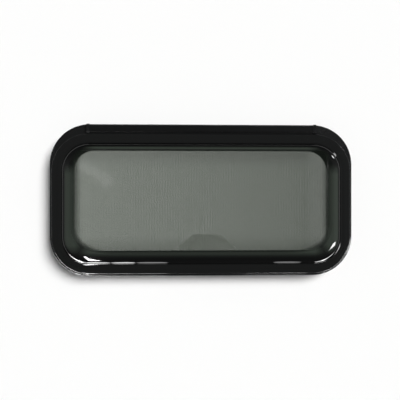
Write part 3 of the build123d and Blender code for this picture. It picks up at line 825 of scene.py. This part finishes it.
class WINDOW_OT_stays(bpy.types.Operator):
    """Finish the telescopic stays"""

    bl_idname = "window.stays"
    bl_label = "Stays"

    def execute(self, context):
        finishes = context.scene.window_finishes
        sizes = context.scene.window_sizes
        metal = satin_metal("stay_metal", finishes.stay_metal)
        dress(metal, *both("stay_tube"), *both("stay_rod"), *both("stay_frame_bracket"))
        moulded = grained_plastic("stay_plastic", finishes.latch_black, 1500.0, 0.4)
        dress(moulded, *both("stay_collar"), *both("stay_sash_bracket"))
        inset = sizes.small_screw * STAY_INSET
        heads = []
        for side, sash, fixed in zip((-1, 1), both("stay_sash_bracket"), both("stay_frame_bracket")):
            low, high = Vector(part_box(fixed)[0]), Vector(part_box(fixed)[1])
            wall = (high.x if side > 0 else low.x) - side * sizes.bracket_plate
            for z in (low.z + inset, high.z - inset):
                heads.append(((wall, (low.y + high.y) / 2, z), (-side, 0.0, 0.0)))
            low, high = Vector(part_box(sash)[0]), Vector(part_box(sash)[1])
            for z in (low.z + inset, high.z - inset):
                heads.append((((low.x + high.x) / 2, low.y + sizes.bracket_plate, z), (0.0, 1.0, 0.0)))
        screws("stay_screws", sizes.small_screw, heads, finishes.stay_metal)
        return {"FINISHED"}


# Stage sizes in metres: the floor's height, half the width of floor and backdrop, the backdrop's gap
FLOOR_LEVEL = -0.66
STAGE_HALF = 2.0
BACKDROP_GAP = 0.001
# Half size and colour of the painted glow of room light on the backdrop behind the panes
GLOW_HALF = (0.42, 0.19)
GLOW_COLOUR = (0.94, 1.0, 0.91, 1.0)

# Where the camera looks, its sensor's width in millimetres, and the key light's direction
CAMERA_TARGET = (-0.0064, -0.008, 0.0004)
SENSOR_WIDTH = 36.0
KEY_DIRECTION = (-0.47, 1.0, -0.385)

# Lamps that only show as glints: name, place, target, size, part of the glints' brightness, roll in degrees
GLINTS = (
    ("low_left", (-0.45, -0.45, -0.60), (-0.345, -0.03, -0.17), (0.04, 0.46), 3.0),
    ("low_right", (1.05, -0.75, -0.40), (0.393, -0.03, -0.127), (0.44, 0.13), 1.0),
    ("high_right", (1.36, -0.42, 0.73), (0.40, 0.0, 0.13), (0.14, 0.14), 1.0),
    ("foot_corner", (-0.49, 0.0, -0.54), (-0.37, -0.02, -0.18), (0.05, 0.34), 0.4),
    ("foot_left", (-0.36, 0.0, -0.50), (-0.36, 0.0, 0.0), (0.10, 0.10), 0.24),
    ("foot_middle", (-0.266, 0.0, -0.50), (-0.266, 0.0, 0.0), (0.085, 0.10), 0.32),
    ("foot_far", (-0.165, 0.0, -0.50), (-0.165, 0.0, 0.0), (0.11, 0.10), 0.1),
    ("foot_right", (0.315, 0.005, -0.50), (0.315, 0.005, 0.0), (0.10, 0.09), 0.1),
    ("foot_end", (0.52, 0.0, -0.53), (0.37, -0.02, -0.18), (0.05, 0.20), 0.4),
    ("edge_corner", (-0.491, 0.035, -0.297), (-0.41, -0.005, -0.20), (0.09, 0.22), 0.9),
    ("edge_end", (0.491, 0.035, -0.297), (0.41, -0.005, -0.20), (0.09, 0.16), 0.5),
    ("edge_left", (-0.23, 0.035, -0.36), (-0.23, -0.005, -0.22), (0.24, 0.03), 0.7),
    ("edge_right", (0.25, 0.035, -0.36), (0.25, -0.005, -0.22), (0.20, 0.03), 0.7),
    ("streak", (-0.455, -1.0, 0.124), (-0.30, -0.03, 0.075), (0.17, 0.045), 0.085, -33.0),
)


class WINDOW_OT_stage(bpy.types.Operator):
    """Set up the floor, the backdrop, the lamps and the camera"""

    bl_idname = "window.stage"
    bl_label = "Stage"

    def execute(self, context):
        stage = context.scene.window_stage
        context.scene.view_settings.view_transform = "Standard"
        self.add_surfaces(stage)
        self.add_world(context.scene, stage)
        self.add_key(stage)
        self.add_lamp("back_lamp", (-0.7, 2.0, 0.9), (0.0, 0.0, 0.0), (1.2, 1.2), stage.back_power)
        for name, place, target, size, part, *roll in GLINTS:
            power = part * stage.glint * math.pi * size[0] * size[1]
            glint = self.add_lamp(name, place, target, size, power, *roll)
            if name.startswith("foot_"):
                # The strips that these lamps make in the dome's foot taper at their ends
                glint.data.shape = "ELLIPSE"
            glint.visible_diffuse = False
            glint.visible_camera = False
        self.add_camera(context.scene, stage)
        return {"FINISHED"}

    def add_surfaces(self, stage):
        """A floor below the window and a backdrop just behind it that can't be seen from behind. Behind the
        panes the backdrop is painted dark and glows with painted room light.
        """
        paper = Finish("stage_paper")
        vector = paper.place()
        x, _, z = paper.axes(vector)
        fibre = paper.noise(vector, 400.0, 2.0)
        tone = tuple(stage.backdrop)
        cover = paper.mix(fibre, shade(tone, 0.99), tone)
        # Painted light behind the panes: the glow stands in for room light, falls off to the right, is
        # painted darker at the left end and towards the bottom, and is lifted near the right end where the
        # key's shadow falls
        behind = abs(x).math("LESS_THAN", GLOW_HALF[0]) * abs(z).math("LESS_THAN", GLOW_HALF[1])
        across = 1.0 - x.ramp(-0.36, 0.36) * 0.42
        painted_shade_left = x.ramp(-0.46, -0.365)
        painted_lift_right = x.ramp(0.32, 0.35) * x.ramp(0.41, 0.375) * 0.22
        painted_shade_low = 0.45 + z.ramp(-0.175, -0.11) * 0.55
        strength = behind * ((across * painted_shade_left + painted_lift_right) * painted_shade_low) * stage.room_light
        glow = paper.node("ShaderNodeEmission", {}, {"Color": GLOW_COLOUR, "Strength": strength})
        # Painted shade: the paper behind the panes is dark, so only its painted glow shows there
        painted_dark_behind = paper.mix(behind, cover, shade(tone, 0.1))
        diffuse = paper.node("ShaderNodeBsdfDiffuse", {}, {"Color": painted_dark_behind})
        front = paper.node("ShaderNodeAddShader", {}, (diffuse, glow))
        gone = paper.node("ShaderNodeBsdfTransparent")
        back = paper.node("ShaderNodeNewGeometry", output="Backfacing")
        either = paper.node("ShaderNodeMixShader", {}, (back, front, gone))
        paper.node("ShaderNodeOutputMaterial", {}, {"Surface": either})
        level = Matrix.Translation((0.0, 0.0, FLOOR_LEVEL))
        for name, matrix in (("stage_floor", level), ("stage_backdrop", self.upright())):
            bm = bmesh.new()
            bmesh.ops.create_grid(bm, x_segments=4, y_segments=4, size=STAGE_HALF, matrix=matrix)
            mesh = bpy.data.meshes.new(name)
            bm.to_mesh(mesh)
            bm.free()
            mesh.materials.append(paper.material)
            plane = bpy.data.objects.new(name, mesh)
            bpy.context.scene.collection.objects.link(plane)
            plane.visible_glossy = name == "stage_backdrop"
            plane.visible_diffuse = False
            plane.visible_shadow = name == "stage_floor"

    def upright(self):
        """Turns a flat grid to face the camera, just behind the window."""
        place = (0.0, CAD_BOX[1][1] + BACKDROP_GAP, FLOOR_LEVEL + STAGE_HALF)
        return Matrix.Translation(place) @ Matrix.Rotation(math.pi / 2, 4, "X")

    def add_world(self, scene, stage):
        """Dim surroundings with a soft wall of light on each side of the camera."""
        world = bpy.data.worlds.new("studio")
        scene.world = world
        studio = Finish("studio", world)
        x, y, z = studio.axes(studio.place("Generated"))
        walls = abs(x).ramp(0.36, 0.6) * abs(z).ramp(0.5, 0.25) * y.ramp(0.1, -0.1)
        mirrored = studio.node("ShaderNodeLightPath", output="Is Glossy Ray")
        sky = 0.75 + z.ramp(-0.6, 0.8) * 0.15
        dark_top = 1.0 - z.ramp(0.65, 0.9) * 0.6
        level = sky * dark_top * stage.ambient + walls * mirrored * stage.side_light
        surround = studio.node("ShaderNodeBackground", {}, {"Strength": level})
        studio.node("ShaderNodeOutputWorld", {}, {"Surface": surround})

    def add_key(self, stage):
        """One large, even light from the upper right, too soft to show as a glint."""
        data = bpy.data.lights.new("key_light", "SUN")
        data.energy = stage.key_light
        data.angle = stage.key_width
        key = bpy.data.objects.new("key_light", data)
        key.rotation_euler = Vector(KEY_DIRECTION).to_track_quat("-Z", "Y").to_euler()
        key.visible_glossy = False
        bpy.context.scene.collection.objects.link(key)

    def add_lamp(self, name, place, target, size, power, roll=0.0):
        """A rectangular lamp that faces a point, rolled by an angle in degrees."""
        data = bpy.data.lights.new(name, "AREA")
        data.shape = "RECTANGLE"
        data.size, data.size_y = size
        data.energy = power
        lamp = bpy.data.objects.new(name, data)
        lamp.location = place
        facing = (Vector(target) - Vector(place)).to_track_quat("-Z", "Y").to_matrix()
        lamp.rotation_euler = (facing @ Matrix.Rotation(math.radians(roll), 3, "Z")).to_euler()
        bpy.context.scene.collection.objects.link(lamp)
        return lamp

    def add_camera(self, scene, stage):
        """A camera that looks at the sash's rim from a little left."""
        data = bpy.data.cameras.new("photo_camera")
        data.lens = stage.lens
        data.sensor_width = SENSOR_WIDTH
        distance = stage.view_width * stage.lens / data.sensor_width
        target = Vector(CAMERA_TARGET)
        away = Vector((-math.sin(stage.view_turn), -math.cos(stage.view_turn), 0.0))
        camera = bpy.data.objects.new("photo_camera", data)
        camera.location = target + away * distance
        camera.rotation_euler = (-away).to_track_quat("-Z", "Y").to_euler()
        scene.collection.objects.link(camera)
        scene.camera = camera


class WINDOW_PT_pieces(bpy.types.Panel):
    """Sidebar list of the window's pieces, sizes and finishes"""

    bl_label = "Caravan window"
    bl_idname = "WINDOW_PT_pieces"
    bl_space_type = "VIEW_3D"
    bl_region_type = "UI"
    bl_category = "Window"

    def draw(self, context):
        layout = self.layout
        for operator in OPERATORS:
            layout.operator(operator.bl_idname)
        for name in GROUPS:
            group = getattr(context.scene, name)
            box = layout.box()
            for key in group.bl_rna.properties.keys():
                if key not in {"rna_type", "name"}:
                    box.prop(group, key)


GROUPS = {"window_sizes": WindowSizes, "window_finishes": WindowFinishes, "window_stage": WindowStage}
OPERATORS = (
    WINDOW_OT_fixed_frame,
    WINDOW_OT_hinge,
    WINDOW_OT_outer_pane,
    WINDOW_OT_inner_pane,
    WINDOW_OT_fly_screen,
    WINDOW_OT_inner_trim,
    WINDOW_OT_latches,
    WINDOW_OT_stays,
    WINDOW_OT_stage,
)


def register():
    """Adds the property groups, the operators and the panel."""
    for name, group in GROUPS.items():
        bpy.utils.register_class(group)
        setattr(bpy.types.Scene, name, PointerProperty(type=group))
    for kind in (*OPERATORS, WINDOW_PT_pieces):
        bpy.utils.register_class(kind)


def unregister():
    """Takes them away again."""
    for kind in (WINDOW_PT_pieces, *reversed(OPERATORS)):
        bpy.utils.unregister_class(kind)
    for name, group in GROUPS.items():
        delattr(bpy.types.Scene, name)
        bpy.utils.unregister_class(group)


def main():
    """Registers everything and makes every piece."""
    register()
    for operator in OPERATORS:
        getattr(bpy.ops.window, operator.bl_idname.split(".")[1])()


if __name__ == "__main__":
    main()
